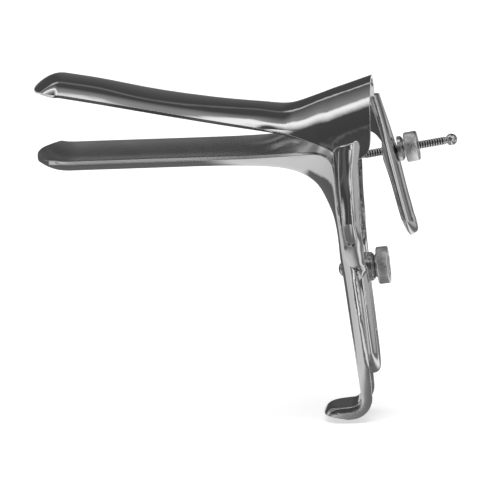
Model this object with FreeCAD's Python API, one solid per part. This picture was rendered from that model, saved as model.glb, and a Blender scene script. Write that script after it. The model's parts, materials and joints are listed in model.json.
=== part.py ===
import FreeCAD, Part
import math
import os

# Two-bladed speculum, millimetres.
# X runs to the rear, towards the hand. Z is up. Y crosses the blades, the thumb lever is at +Y.
# The origin is the middle of the hinge axis between the two ears of the yoke.

# Driving dimensions
BLADE_TIP_X = -109.3
TIP_LENGTH = 11.0
BLADE_HALF_WIDTH = 17.0
LOWER_SAGITTA = 5.1
UPPER_SAGITTA = 4.0
SHEET = 1.25
LIP_Z = -0.3
TIP_DROOP_LOWER = 0.8
TIP_DROOP_UPPER = 3.0
THROAT_HALF_WIDTH = 19.4
HANDLE_HALF_WIDTH = 10.4
HANDLE_CORNER = 3.6
HANDLE_TILT = 5.9
FOOT_BEND_RADIUS = 3.6
FOOT_LENGTH = 14.4
HOOD_HALF_WIDTH = 20.4
ARM_HALF_WIDTH = 22.3
ARM_THICKNESS = 1.55
STEM_HALF_WIDTH = 8.75
STEM_TILT = 4.4
STEM_CORNER = 2.4
SLOT_WIDTH = 4.6
SLIDE_TRAVEL = 18.0
STUD_Z = -44.5
HINGE_PIN_R = 2.0
HINGE_HOLE_R = 2.06
ROD_TILT = 8.1
ROD_PIVOT_X = 1.0
ROD_PIVOT_Z = -10.3
ROD_RADIUS = 1.5
THREAD_PITCH = 0.9
THREAD_DEPTH = 0.32

V = FreeCAD.Vector
os.makedirs("parts", exist_ok=True)


def natural_spline(xs, ys):
    # Natural cubic spline through the stations, returned as a function.
    n = len(xs)
    h = [xs[i + 1] - xs[i] for i in range(n - 1)]
    low = [0.0] * n
    mid = [1.0] * n
    top = [0.0] * n
    rhs = [0.0] * n
    for i in range(1, n - 1):
        low[i] = h[i - 1]
        mid[i] = 2.0 * (h[i - 1] + h[i])
        top[i] = h[i]
        rhs[i] = 6.0 * ((ys[i + 1] - ys[i]) / h[i] - (ys[i] - ys[i - 1]) / h[i - 1])
    for i in range(1, n):
        f = low[i] / mid[i - 1]
        mid[i] -= f * top[i - 1]
        rhs[i] -= f * rhs[i - 1]
    m = [0.0] * n
    for i in range(n - 2, 0, -1):
        m[i] = (rhs[i] - top[i] * m[i + 1]) / mid[i]

    def value(x):
        k = 0
        while k < n - 2 and x > xs[k + 1]:
            k += 1
        a = (xs[k + 1] - x) / h[k]
        b = (x - xs[k]) / h[k]
        cube = (a ** 3 - a) * m[k] + (b ** 3 - b) * m[k + 1]
        return a * ys[k] + b * ys[k + 1] + cube * h[k] ** 2 / 6.0

    return value


def monotone_curve(xs, ys):
    # Cubic through the stations that never swings past them, returned as a function.
    n = len(xs)
    h = [xs[i + 1] - xs[i] for i in range(n - 1)]
    rise = [(ys[i + 1] - ys[i]) / h[i] for i in range(n - 1)]
    slope = [rise[0]] + [0.0] * (n - 2) + [rise[-1]]
    for i in range(1, n - 1):
        if rise[i - 1] * rise[i] > 0:
            slope[i] = 2.0 * rise[i - 1] * rise[i] / (rise[i - 1] + rise[i])

    def value(x):
        k = 0
        while k < n - 2 and x > xs[k + 1]:
            k += 1
        f = (x - xs[k]) / h[k]
        bend = f * f * (3.0 - 2.0 * f)
        start = f * (1.0 - f) ** 2
        end = -f * f * (1.0 - f)
        return ys[k] + bend * (ys[k + 1] - ys[k]) + h[k] * (start * slope[k] + end * slope[k + 1])

    return value


def resample(points, count):
    # Points at equal steps of length along a dense outline.
    run = [0.0]
    for i in range(1, len(points)):
        dx = points[i][0] - points[i - 1][0]
        dy = points[i][1] - points[i - 1][1]
        run.append(run[-1] + math.hypot(dx, dy))
    out = []
    k = 0
    for j in range(count):
        want = run[-1] * j / (count - 1)
        while k < len(run) - 2 and run[k + 1] < want:
            k += 1
        f = (want - run[k]) / (run[k + 1] - run[k])
        x = points[k][0] + f * (points[k + 1][0] - points[k][0])
        y = points[k][1] + f * (points[k + 1][1] - points[k][1])
        out.append((x, y))
    return out


def arch_profile(w, h, phi, flat, count):
    # Half of an arch: across 0 to w, drop 0 to h. The arc part ends in straight walls.
    arc = min(h, flat * w)
    pts = []
    for i in range(81):
        a = phi * i / 80.0
        y = w * math.sin(a) / math.sin(phi)
        d = arc * (1.0 - math.cos(a)) / (1.0 - math.cos(phi))
        pts.append((y, d))
    if h - arc > 1e-6:
        for i in range(1, 41):
            pts.append((w, arc + (h - arc) * i / 40.0))
    return resample(pts, count)


def channel_profile(w, h, r, count):
    # Half of a pressed channel: flat face, corner radius, straight flange.
    r = min(r, h * 0.98, w * 0.98)
    pts = []
    for i in range(41):
        pts.append(((w - r) * i / 40.0, 0.0))
    for i in range(1, 31):
        a = 0.5 * math.pi * i / 30.0
        pts.append((w - r + r * math.sin(a), r - r * math.cos(a)))
    for i in range(1, 31):
        pts.append((w, r + (h - r) * i / 30.0))
    return resample(pts, count)


def mirror_row(half):
    # A full row of a section from its half, from -Y to +Y.
    return [(-y, d) for y, d in reversed(half[1:])] + list(half)


def unit_normal(grid, i, j, along):
    n = len(grid)
    m = len(grid[0])
    a = grid[min(i + 1, n - 1)][j].sub(grid[max(i - 1, 0)][j])
    if along is not None and (i == 0 or i == n - 1):
        a = along[0] if i == 0 else along[1]
    b = grid[i][min(j + 1, m - 1)].sub(grid[i][max(j - 1, 0)])
    return a.cross(b).normalize()


def sheet_solid(grid, thick, along=None):
    # Solid sheet between a surface through the grid and its offset by thick.
    outer = grid
    inner = []
    for i in range(len(grid)):
        row = []
        for j in range(len(grid[0])):
            row.append(grid[i][j].add(unit_normal(grid, i, j, along).multiply(thick)))
        inner.append(row)
    so = Part.BSplineSurface()
    so.interpolate(outer)
    si = Part.BSplineSurface()
    si.interpolate(inner)
    faces = [so.toShape(), si.toShape()]
    a0, a1, b0, b1 = so.bounds()
    c0, c1, d0, d1 = si.bounds()
    rims = []
    rims.append((so.uIso(a0), si.uIso(c0)))
    rims.append((so.uIso(a1), si.uIso(c1)))
    rims.append((so.vIso(b0), si.vIso(d0)))
    rims.append((so.vIso(b1), si.vIso(d1)))
    for p, q in rims:
        faces.append(Part.makeRuledSurface(p.toShape(), q.toShape()))
    shell = Part.makeShell(faces)
    shell.sewShape(1e-4)
    solid = Part.makeSolid(shell)
    if solid.Volume < 0:
        solid.reverse()
    return solid, so, si


def end_profile(so, si, last=True):
    # Closed section wire of a sheet at one end of its length.
    a = so.bounds()[1] if last else so.bounds()[0]
    c = si.bounds()[1] if last else si.bounds()[0]
    p = so.uIso(a).toShape()
    q = si.uIso(c).toShape()
    l1 = Part.makeLine(p.valueAt(p.FirstParameter), q.valueAt(q.FirstParameter))
    l2 = Part.makeLine(p.valueAt(p.LastParameter), q.valueAt(q.LastParameter))
    return Part.Wire(Part.__sortEdges__([p, l2, q, l1]))


def prism_y(points, y0, y1):
    # Side-view polygon in X and Z, pulled along Y.
    pts = [V(x, y0, z) for x, z in points]
    face = Part.Face(Part.makePolygon(pts + [pts[0]]))
    return face.extrude(V(0, y1 - y0, 0))


def spline_prism_y(straight, curve, y0, y1):
    # Side-view outline: a smooth curve closed by straight runs, pulled along Y.
    c = Part.BSplineCurve()
    c.interpolate([V(x, y0, z) for x, z in curve])
    edges = [c.toShape()]
    pts = [V(curve[-1][0], y0, curve[-1][1])]
    pts += [V(x, y0, z) for x, z in straight]
    pts.append(V(curve[0][0], y0, curve[0][1]))
    for i in range(len(pts) - 1):
        edges.append(Part.makeLine(pts[i], pts[i + 1]))
    face = Part.Face(Part.Wire(edges))
    return face.extrude(V(0, y1 - y0, 0))


def cylinder(r, p, q):
    d = V(*q).sub(V(*p))
    return Part.makeCylinder(r, d.Length, V(*p), d)


def turned(profile, origin, axis):
    # Body of revolution. The profile is a list of (distance along the axis, radius).
    pts = [V(s, 0, r) for s, r in profile]
    if profile[0][1] > 1e-9 or profile[-1][1] > 1e-9:
        pts = [V(profile[0][0], 0, 0)] + pts + [V(profile[-1][0], 0, 0)]
    clean = [pts[0]]
    for p in pts[1:]:
        if p.sub(clean[-1]).Length > 1e-7:
            clean.append(p)
    face = Part.Face(Part.makePolygon(clean + [clean[0]]))
    body = face.revolve(V(0, 0, 0), V(1, 0, 0), 360)
    turn = FreeCAD.Rotation(V(1, 0, 0), V(*axis))
    body.Placement = FreeCAD.Placement(V(*origin), turn)
    return body


def blade_plan(half, tip_x, length, back_x, z0, z1):
    # Plan outline of a blade: rounded tip, straight sides.
    x0 = tip_x + length
    e = Part.Ellipse(V(x0 - 0.0, half, z0), V(tip_x, 0, z0), V(x0, 0, z0))
    arc = Part.ArcOfEllipse(e, 0, math.pi).toShape()
    ends = [arc.valueAt(arc.FirstParameter), arc.valueAt(arc.LastParameter)]
    mid = arc.valueAt(0.5 * (arc.FirstParameter + arc.LastParameter))
    if mid.x > x0:
        arc = Part.ArcOfEllipse(e, math.pi, 2 * math.pi).toShape()
        ends = [arc.valueAt(arc.FirstParameter), arc.valueAt(arc.LastParameter)]
    b0 = V(back_x, ends[0].y, z0)
    b1 = V(back_x, ends[1].y, z0)
    wire = Part.Wire([arc, Part.makeLine(ends[1], b1), Part.makeLine(b1, b0), Part.makeLine(b0, ends[0])])
    return Part.Face(wire).extrude(V(0, 0, z1 - z0))


def half_cut(solid, y0, y1):
    box = Part.makeBox(400, y1 - y0, 400, V(-200, y0, -200))
    return solid.common(box)


HALF = 13
tilt = math.radians(HANDLE_TILT)
down = V(math.sin(tilt), 0, -math.cos(tilt))
back = V(math.cos(tilt), 0, math.sin(tilt))

# Lower blade: one pressed sheet, from the blade through the chute to the handle.
# Stations: floor X, floor Z, lip X, lip Z, half width, share of the channel section, corner.
W0 = BLADE_HALF_WIDTH
HT = HANDLE_HALF_WIDTH
FLOOR = LIP_Z - LOWER_SAGITTA
h_top = V(-3.2, 0, -45.0)


def on_handle(s, depth):
    return h_top.add(V(down).multiply(s)).add(V(back).multiply(depth))


HANDLE_RUN = 44.6
lip_top = on_handle(0.0, 4.85)
h_mid = on_handle(15.0, 0.0)
lip_mid = on_handle(15.0, 5.15)
h_low = on_handle(30.0, 0.0)
lip_low = on_handle(30.0, 4.9)
h_end = on_handle(HANDLE_RUN, 0.0)
lip_end = on_handle(HANDLE_RUN, 4.1)
lower_stations = [
    (BLADE_TIP_X - 1.5, FLOOR, BLADE_TIP_X - 1.5, LIP_Z, W0, 0.0),
    (-102.0, FLOOR, -102.0, LIP_Z, W0, 0.0),
    (-90.0, FLOOR, -90.0, LIP_Z, W0, 0.0),
    (-70.0, FLOOR, -70.0, LIP_Z, W0, 0.0),
    (-54.0, FLOOR, -54.0, LIP_Z, W0, 0.0),
    (-42.0, FLOOR - 0.1, -42.0, LIP_Z, W0 + 0.2, 0.0),
    (-33.5, FLOOR - 0.5, -33.0, LIP_Z + 0.1, W0 + 0.6, 0.0),
    (-26.0, FLOOR - 1.3, -24.0, LIP_Z + 0.5, W0 + 1.1, 0.0),
    (-19.9, FLOOR - 2.6, -16.0, LIP_Z + 0.95, W0 + 1.7, 0.0),
    (-14.7, FLOOR - 5.0, -9.6, LIP_Z + 1.0, THROAT_HALF_WIDTH - 0.3, 0.0),
    (-10.6, FLOOR - 8.6, -5.4, LIP_Z - 1.3, THROAT_HALF_WIDTH, 0.02),
    (-8.1, FLOOR - 13.2, -3.6, -7.3, THROAT_HALF_WIDTH - 0.2, 0.08),
    (-6.1, FLOOR - 18.0, -3.0, -15.4, 18.0, 0.25),
    (-4.8, FLOOR - 23.2, -2.3, -23.6, 15.6, 0.5),
    (-4.2, FLOOR - 28.6, -1.3, -31.6, 12.8, 0.78),
    (-3.85, FLOOR - 33.8, 0.0, -38.4, 11.0, 0.95),
    (h_top.x, h_top.z, lip_top.x, lip_top.z, HT, 1.0),
    (h_mid.x, h_mid.z, lip_mid.x, lip_mid.z, HT, 1.0),
    (h_low.x, h_low.z, lip_low.x, lip_low.z, HT, 1.0),
    (h_end.x, h_end.z, lip_end.x, lip_end.z, HT, 1.0),
]


def station_functions(stations):
    run = [0.0]
    for i in range(1, len(stations)):
        a = stations[i - 1]
        b = stations[i]
        run.append(run[-1] + math.hypot(b[0] - a[0], b[1] - a[1]))
    cols = []
    for c in range(len(stations[0])):
        cols.append(natural_spline(run, [s[c] for s in stations]))
    return run, cols


def lower_grid():
    run, f = station_functions(lower_stations)
    steps = []
    for k in range(len(run) - 1):
        parts = max(2, int((run[k + 1] - run[k]) / 3.2))
        for q in range(parts):
            steps.append(run[k] + (run[k + 1] - run[k]) * q / parts)
    steps.append(run[-1])
    x0 = BLADE_TIP_X + TIP_LENGTH
    grid = []
    for s in steps:
        fx, fz, lx, lz, w, share = [g(s) for g in f]
        share = min(1.0, max(0.0, share))
        deep = math.hypot(lx - fx, lz - fz)
        ux, uz = (lx - fx) / deep, (lz - fz) / deep
        arch = arch_profile(w, deep, 0.62 + 0.5 * smooth_step((s - run[7]) / (run[11] - run[7])), 2.0, HALF)
        chan = channel_profile(w, deep, HANDLE_CORNER, HALF)
        half = []
        for a, b in zip(arch, chan):
            half.append((a[0] + share * (b[0] - a[0]), a[1] + share * (b[1] - a[1])))
        row = []
        for y, d in mirror_row(half):
            z = fz + uz * d
            x = fx + ux * d
            if x < x0:
                z += (LOWER_SAGITTA - TIP_DROOP_LOWER) * ((x0 - x) / TIP_LENGTH) ** 2
            row.append(V(x, y, z))
        grid.append(row)
    return grid


def smooth_step(t):
    t = min(1.0, max(0.0, t))
    return t * t * (3.0 - 2.0 * t)


lg = lower_grid()
lower, lo_s, li_s = sheet_solid(lg, SHEET, (V(1, 0, 0), V(down)))
plan = blade_plan(BLADE_HALF_WIDTH + 0.3, BLADE_TIP_X, TIP_LENGTH, 0.0, -40.0, 60.0)
tip_zone = Part.makeBox(40, 80, 90, V(BLADE_TIP_X - 5.0, -40, -35))
tip_cut = tip_zone.cut(plan)
lower = lower.cut(tip_cut)

# The lips of the chute are trimmed where the yoke slides past behind them.
lip_line = [(-4.6, -3.0), (-4.0, -7.5), (-3.8, -11.0), (-3.75, -14.5), (-3.65, -17.5), (-3.35, -21.0),
            (-3.1, -24.0), (-2.5, -29.5), (-2.1, -33.0), (-1.3, -36.5), (-0.35, -39.6), (0.05, -41.2), (0.35, -42.0),
            (1.2, -43.2), (2.2, -44.4)]
lower = lower.cut(spline_prism_y([(9.0, -44.4), (9.0, -3.0)], lip_line, -30, 30))

# Foot: the channel bends forward into a finger rest with a round closed end.
prof_face = Part.Face(end_profile(lo_s, li_s))
centre = h_end.sub(V(back).multiply(FOOT_BEND_RADIUS))
bend_angle = 85.3 + HANDLE_TILT
foot_bend = prof_face.revolve(centre, V(0, 1, 0), bend_angle)
turn = FreeCAD.Rotation(V(0, 1, 0), bend_angle)


def after_bend(p):
    return centre.add(turn.multVec(p.sub(centre)))


def round_end(face, middle, y_mid, outward, axis):
    # Half of a section turned about the middle of its face: a closed round end.
    half = half_cut(face, y_mid, y_mid + 60.0).Faces[0]
    cap = half.revolve(middle, axis, 180.0)
    if Part.Solid(cap.Solids[0]).CenterOfMass.sub(middle).dot(outward) < 0:
        cap = half.revolve(middle, axis, -180.0)
    return cap.Solids[0]


foot_dir = turn.multVec(V(down))
foot_up = turn.multVec(V(back).multiply(-1))
foot_start = after_bend(h_end)
foot_face = prof_face.copy()
foot_face.rotate(centre, V(0, 1, 0), bend_angle)
foot_straight = max(0.4, FOOT_LENGTH - FOOT_BEND_RADIUS - HANDLE_HALF_WIDTH)
foot_run = foot_face.extrude(V(foot_dir).multiply(foot_straight))
cap_face = foot_face.copy()
cap_face.translate(V(foot_dir).multiply(foot_straight))
cap_centre = foot_start.add(V(foot_dir).multiply(foot_straight))
foot_cap = round_end(cap_face, cap_centre, 0.0, foot_dir, foot_up)
lower_blade = lower.fuse([foot_bend, foot_run, foot_cap])

# The flanges of the foot get lower towards its round end.
foot_trim = prism_y([(6.4, -99.5), (-16.6, -94.9), (-16.6, -110.0), (6.4, -110.0)], -20, 20)
lower_blade = lower_blade.cut(foot_trim)

# Slide direction of the yoke and the axis of the lock stud.
st = math.radians(STEM_TILT)
slide_up = V(-math.sin(st), 0, math.cos(st))
stud_axis = V(math.cos(st), 0, math.sin(st))
STEM_FACE_X = 5.8
stud_face = V(STEM_FACE_X, 0, STUD_Z)


def on_stud(d):
    return stud_face.add(V(stud_axis).multiply(d))


STUD_R = 1.9
stud_hole = Part.makeCylinder(STUD_R, 14.0, on_stud(-14.0), stud_axis)
lower_blade = lower_blade.cut(stud_hole)

# Upper blade: blade and flared hood in one sheet.
# Stations: X, lip Z, top Z, half width, opening angle of the arc.
upper_stations = [
    (-112.5, 27.5, 31.3, 16.8, 0.60),
    (-97.0, 24.3, 28.15, 16.8, 0.60),
    (-88.0, 22.5, 26.45, 16.8, 0.60),
    (-70.0, 18.75, 22.05, 16.8, 0.60),
    (-53.0, 15.2, 18.9, 16.9, 0.62),
    (-41.0, 12.75, 17.2, 17.0, 0.68),
    (-33.0, 11.2, 16.3, 17.2, 0.78),
    (-27.0, 10.1, 15.55, 17.7, 0.92),
    (-22.0, 9.05, 14.95, 18.3, 1.08),
    (-18.0, 7.8, 15.3, 18.8, 1.2),
    (-13.0, 5.9, 16.85, 19.5, 1.35),
    (-8.5, 4.05, 18.4, 20.0, 1.46),
    (-4.0, 1.5, 19.95, 20.3, 1.54),
    (0.0, -1.9, 21.2, HOOD_HALF_WIDTH, 1.57),
    (5.0, -5.6, 22.8, HOOD_HALF_WIDTH, 1.57),
    (10.0, -9.0, 24.4, HOOD_HALF_WIDTH, 1.57),
    (14.5, -11.0, 25.8, HOOD_HALF_WIDTH, 1.57),
]


def upper_grid():
    xs = [t[0] for t in upper_stations]
    f = [natural_spline(xs, [t[c] for t in upper_stations]) for c in range(1, 5)]
    steps = []
    for k in range(len(xs) - 1):
        parts = max(2, int((xs[k + 1] - xs[k]) / 2.6))
        for q in range(parts):
            steps.append(xs[k] + (xs[k + 1] - xs[k]) * q / parts)
    steps.append(xs[-1])
    x0 = BLADE_TIP_X + TIP_LENGTH
    grid = []
    for x in steps:
        lip, crown, w, phi = [g(x) for g in f]
        half = arch_profile(w, crown - lip, min(phi, 1.5707), 0.76, HALF + 3)
        row = []
        for y, d in mirror_row(half):
            z = crown - d
            if x < x0:
                z -= (UPPER_SAGITTA - 0.5 + TIP_DROOP_UPPER) * ((x0 - x) / TIP_LENGTH) ** 2
            row.append(V(x, y, z))
        grid.append(row)
    return grid


upper, uo_s, ui_s = sheet_solid(upper_grid(), -SHEET, (V(1, 0, 0), V(1, 0, 0)))
upper = upper.cut(tip_cut)
LEVER_FRONT = [(7.5, 12.9), (10.15, 3.9), (12.35, -5.0)]
RIM_X = 9.6
near_rim = prism_y([(RIM_X, -20), (RIM_X, 32), (40, 32), (40, -20)], -40, 12)
far_rim = prism_y([(RIM_X, 12.9), (RIM_X, 32), (40, 32), (40, 12.9)], 12, 40)
near_curve = [(-2.2, -1.6), (0.4, -2.0), (2.7, -1.9), (5.6, -0.9), (7.8, 0.6), (9.0, 2.9), (9.5, 6.5), (10.2, 11.0)]
near_cut = spline_prism_y([(16, 11), (16, -20), (-5, -20), (-5, -1.6)], near_curve, -40, 0)
far_curve = [(-2.2, -1.6), (0.4, -2.0), (2.9, -1.6), (5.4, -0.2), (7.5, 0.1), (9.2, -0.9), (10.6, -2.6), (12.0, -5.0),
             (13.0, -7.6)]
far_cut = spline_prism_y([(13.0, -20), (-5, -20), (-5, -1.6)], far_curve, 0, 40)
far_rear = prism_y([LEVER_FRONT[0], LEVER_FRONT[1], LEVER_FRONT[2], (13.0, -7.6), (13.0, -20), (30, -20),
                    (30, 12.9)], 12.0, 40)
upper = upper.cut(near_rim).cut(far_rim).cut(near_cut).cut(far_cut).cut(far_rear)
hinge_holes = cylinder(HINGE_HOLE_R, (0, -30, 0), (0, 30, 0))
upper_blade = upper.cut(hinge_holes)

# Thumb lever: a pressed strap that carries on from the far wall of the hood.
# Stations: rear face X, Z, front edge X, Z.
LEVER_HALF_WIDTH = 6.9
LEVER_Y = HOOD_HALF_WIDTH - SHEET + LEVER_HALF_WIDTH
lever_stations = [
    (10.4, 13.7, 7.5, 13.3),
    (11.7, 9.0, 8.8, 8.6),
    (13.05, 4.4, 10.15, 3.9),
    (15.5, -4.3, 12.4, -5.0),
    (17.1, -11.0, 14.3, -11.6),
    (18.9, -20.0, 16.6, -20.5),
    (20.6, -28.5, 18.3, -28.95),
    (21.6, -33.5, 19.35, -33.95),
]


def lever_grid():
    run, f = station_functions(lever_stations)
    steps = []
    for k in range(len(run) - 1):
        for q in range(4):
            steps.append(run[k] + (run[k + 1] - run[k]) * q / 4.0)
    steps.append(run[-1])
    grid = []
    for s in steps:
        fx, fz, lx, lz = [g(s) for g in f]
        deep = math.hypot(lx - fx, lz - fz)
        ux, uz = (lx - fx) / deep, (lz - fz) / deep
        arch = arch_profile(LEVER_HALF_WIDTH, deep, 1.5, 2.0, 9)
        chan = channel_profile(LEVER_HALF_WIDTH, deep, 1.9, 9)
        half = [(0.4 * a[0] + 0.6 * b[0], 0.4 * a[1] + 0.6 * b[1]) for a, b in zip(arch, chan)]
        grid.append([V(fx + ux * d, LEVER_Y + y, fz + uz * d) for y, d in mirror_row(half)])
    return grid


la = lever_stations[-1]
lb = lever_stations[-2]
lever_front = V(la[2] - la[0], 0, la[3] - la[1]).normalize()
lever_down = V(-lever_front.z, 0, lever_front.x)
if lever_down.z > 0:
    lever_down = lever_down.multiply(-1)
lever, ro_s, ri_s = sheet_solid(lever_grid(), -SHEET, (V(0.27, 0, -0.96), V(lever_down)))
lever_face = Part.Face(end_profile(ro_s, ri_s))
lever_cap = round_end(lever_face, V(la[0], LEVER_Y, la[1]), LEVER_Y, lever_down, lever_front)
lever = lever.fuse(lever_cap)


def spline_prism_x(straight, curve, x0, x1):
    # Front-view outline in Y and Z, pulled along X.
    c = Part.BSplineCurve()
    c.interpolate([V(x0, y, z) for y, z in curve])
    edges = [c.toShape()]
    pts = [V(x0, curve[-1][0], curve[-1][1])]
    pts += [V(x0, y, z) for y, z in straight]
    pts.append(V(x0, curve[0][0], curve[0][1]))
    for i in range(len(pts) - 1):
        edges.append(Part.makeLine(pts[i], pts[i + 1]))
    face = Part.Face(Part.Wire(edges))
    return face.extrude(V(x1 - x0, 0, 0))


top_curve = [(18.0, 12.9), (22.0, 12.9), (27.0, 12.2), (30.8, 9.8), (32.6, 5.5), (33.6, 0.0)]
lever = lever.cut(spline_prism_x([(40, 0), (40, 30), (18, 30)], top_curve, -5, 40))

# Adjusting rod axis, from its pivot on the yoke to the ball at the rear.
rt = math.radians(ROD_TILT)
rod_dir = V(math.cos(rt), 0, math.sin(rt))
rod_up = V(-math.sin(rt), 0, math.cos(rt))
ROD_AXIS_Y = LEVER_Y
rod_pivot = V(ROD_PIVOT_X, ROD_AXIS_Y, ROD_PIVOT_Z)


def on_rod(d):
    return rod_pivot.add(V(rod_dir).multiply(d))


slot_r = 2.15
slot_len = 0.6
hole_a = Part.makeCylinder(slot_r, 12.0, on_rod(8.0).add(V(rod_up).multiply(slot_len)), rod_dir)
hole_b = Part.makeCylinder(slot_r, 12.0, on_rod(8.0).sub(V(rod_up).multiply(slot_len)), rod_dir)
lever = lever.cut(hole_a.fuse(hole_b))

upper_blade = upper_blade.cut(lever)

# Yoke: two arms that straddle the chute, drawn together into a slotted stem.
# Stations: rear face X, Z, front edge X, Z, half width, corner radius.
WY = ARM_HALF_WIDTH
WS = STEM_HALF_WIDTH


STEM_DEPTH = 4.3


def stem_x(z):
    return STEM_FACE_X + (STUD_Z - z) * math.tan(st)


def stem_station(z):
    x = stem_x(z)
    dx, dz = STEM_DEPTH * math.cos(st), STEM_DEPTH * math.sin(st)
    return (x, z, x - dx, z - dz, WS, STEM_CORNER)


yoke_stations = [
    (6.3, 9.0, -4.3, 9.0, WY, 3.0),
    (5.75, 2.0, -3.8, 2.0, WY, 3.0),
    (4.95, -3.0, -3.75, -3.0, WY, 3.0),
    (4.4, -9.0, -3.6, -9.0, WY, 3.0),
    (4.2, -17.0, -2.95, -17.0, WY, 3.0),
    (4.35, -24.0, -2.4, -24.0, WY, 3.0),
    (4.6, -29.0, -2.0, -29.0, WY - 1.2, 3.0),
    (4.8, -33.0, -1.85, -33.0, WY - 4.1, 3.0),
    (5.05, -36.5, -1.75, -36.5, WY - 6.6, 2.9),
    (5.3, -39.3, -1.35, -39.3, WY - 8.3, 2.8),
    (5.5, -41.3, 0.05, -41.3, WY - 9.4, 2.7),
    (5.6, -42.6, 1.9, -42.6, WY - 11.1, 2.5),
    (5.75, -43.9, 2.1, -43.9, WS + 0.6, 2.4),
    stem_station(-46.0),
    stem_station(-52.0),
    stem_station(-63.0),
    stem_station(-74.0),
]


def yoke_sections(grow, wall):
    # Closed channel sections down the yoke. The outside is moved out by grow.
    run = [0.0]
    for a, b in zip(yoke_stations, yoke_stations[1:]):
        run.append(run[-1] + math.hypot(b[0] - a[0], b[1] - a[1]))
    path = [natural_spline(run, [s[c] for s in yoke_stations]) for c in range(4)]
    width = monotone_curve(run, [s[4] for s in yoke_stations])
    corner = monotone_curve(run, [s[5] for s in yoke_stations])
    wires = []
    for k in range(len(run) - 1):
        parts = max(1, int((run[k + 1] - run[k]) / 2.5))
        for q in range(parts + (1 if k == len(run) - 2 else 0)):
            s = run[k] + (run[k + 1] - run[k]) * q / parts
            fx, fz, lx, lz = [g(s) for g in path]
            slope = (width(min(s + 0.1, run[-1])) - width(max(s - 0.1, 0.0))) / 0.2
            side = wall * math.sqrt(1.0 + min(slope * slope, 1.6))
            out = grow * side / wall
            wires.append(channel_wire((fx, fz), (lx, lz), width(s), corner(s), grow, wall, out, side))
    return wires


def channel_wire(back_edge, front_edge, w, r, grow, wall, out, side):
    # Outline of one channel section: outer face, outer corners, then the inside back again.
    deep = math.hypot(front_edge[0] - back_edge[0], front_edge[1] - back_edge[1])
    ux = (front_edge[0] - back_edge[0]) / deep
    uz = (front_edge[1] - back_edge[1]) / deep

    def at(y, d):
        return V(back_edge[0] + ux * d, y, back_edge[1] + uz * d)

    def corner(y, d, rr, sign):
        # Arc that turns from the side wall to the rear face about (y, d).
        mid = rr * math.sqrt(0.5)
        return Part.Arc(at(y + sign * rr, d), at(y + sign * mid, d - mid), at(y, d - rr)).toShape()

    wo = w + out
    ro = r + grow
    wi = wo - side
    ri = max(ro - wall, 0.35)
    face = wall - grow
    edges = [
        Part.makeLine(at(-wo, deep), at(-wo, r)),
        corner(-wo + ro, r, ro, -1),
        Part.makeLine(at(-wo + ro, -grow), at(wo - ro, -grow)),
        corner(wo - ro, r, ro, 1),
        Part.makeLine(at(wo, r), at(wo, deep)),
        Part.makeLine(at(wo, deep), at(wi, deep)),
        Part.makeLine(at(wi, deep), at(wi, face + ri)),
        corner(wi - ri, face + ri, ri, 1),
        Part.makeLine(at(wi - ri, face), at(-wi + ri, face)),
        corner(-wi + ri, face + ri, ri, -1),
        Part.makeLine(at(-wi, face + ri), at(-wi, deep)),
        Part.makeLine(at(-wi, deep), at(-wo, deep)),
    ]
    return Part.Wire(Part.__sortEdges__(edges))


stem_down = V(slide_up).multiply(-1)
yoke_wires = yoke_sections(0.0, ARM_THICKNESS)
yoke = Part.makeLoft(yoke_wires, True, False)
yoke_face = Part.Face(yoke_wires[-1])
stem_end = V(stem_x(-74.0), 0, -74.0)
yoke_cap = round_end(yoke_face, stem_end, 0.0, stem_down, stud_axis)
ear_top = prism_y([(-9, 16), (-9, 2.2), (-3.7, 2.3), (-2.9, 3.3), (-1.8, 3.8), (3.3, 5.0), (3.9, 5.6), (4.6, 5.7),
                   (5.3, 5.1), (5.7, 2.8), (5.25, -0.6), (4.9, -3.0), (12, -3.0), (12, 16)], -40, 40)
t = WY - ARM_THICKNESS
throat_curve = [(-t, 12.0), (-t, 4.0), (-t, -4.0), (-t + 0.2, -9.0), (-19.3, -14.0), (-18.6, -22.0), (-16.6, -28.0),
                (-12.0, -32.6), (-6.0, -35.4), (0.0, -36.3), (6.0, -35.4), (12.0, -32.6), (16.6, -28.0),
                (18.6, -22.0), (19.3, -14.0), (t - 0.2, -9.0), (t, -4.0), (t, 4.0), (t, 12.0)]
throat = spline_prism_x([], throat_curve, 0.0, 12.0)


RECESS_DEPTH = 0.7
skin = Part.makeLoft(yoke_sections(1.0, 1.0 + RECESS_DEPTH), True, False)
recess_right = [(-1.95, 2.4), (-2.2, -4.0), (-2.0, -14.0), (-1.45, -24.0), (-0.95, -30.2), (-0.1, -32.3), (1.2, -32.9),
                (2.6, -32.5), (3.1, -30.8), (2.8, -26.0), (2.0, -16.0), (1.25, -8.0), (1.9, -2.5), (2.8, 2.8)]
recess = spline_prism_y([(0.3, 2.9)], recess_right, -30, 30)
recess_skin = skin.common(recess)
yoke = yoke.cut(throat).cut(ear_top).cut(recess_skin)
slot_top = on_stud(-6.0)
slot_a = Part.makeCylinder(SLOT_WIDTH / 2.0, 12.0, slot_top, stud_axis)
slot_low = slot_top.add(V(stem_down).multiply(SLIDE_TRAVEL + 4.0))
slot_b = Part.makeCylinder(SLOT_WIDTH / 2.0, 12.0, slot_low, stud_axis)
mid_box = Part.makeBox(12.0, SLOT_WIDTH, SLIDE_TRAVEL + 4.0)
mid_box.Placement = FreeCAD.Placement(slot_low.sub(V(0, SLOT_WIDTH / 2.0, 0)), FreeCAD.Rotation(V(0, 1, 0), -STEM_TILT))
yoke = yoke.fuse(yoke_cap).cut(slot_a).cut(slot_b).cut(mid_box)
pin_holes = cylinder(HINGE_PIN_R, (0, -40, 0), (0, 40, 0))
yoke = yoke.cut(pin_holes)

# Hinge rivets: flush outside, low round head inside the hood wall.
RECESS_FLOOR = WY - RECESS_DEPTH
INNER_FACE = HOOD_HALF_WIDTH - SHEET


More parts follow.
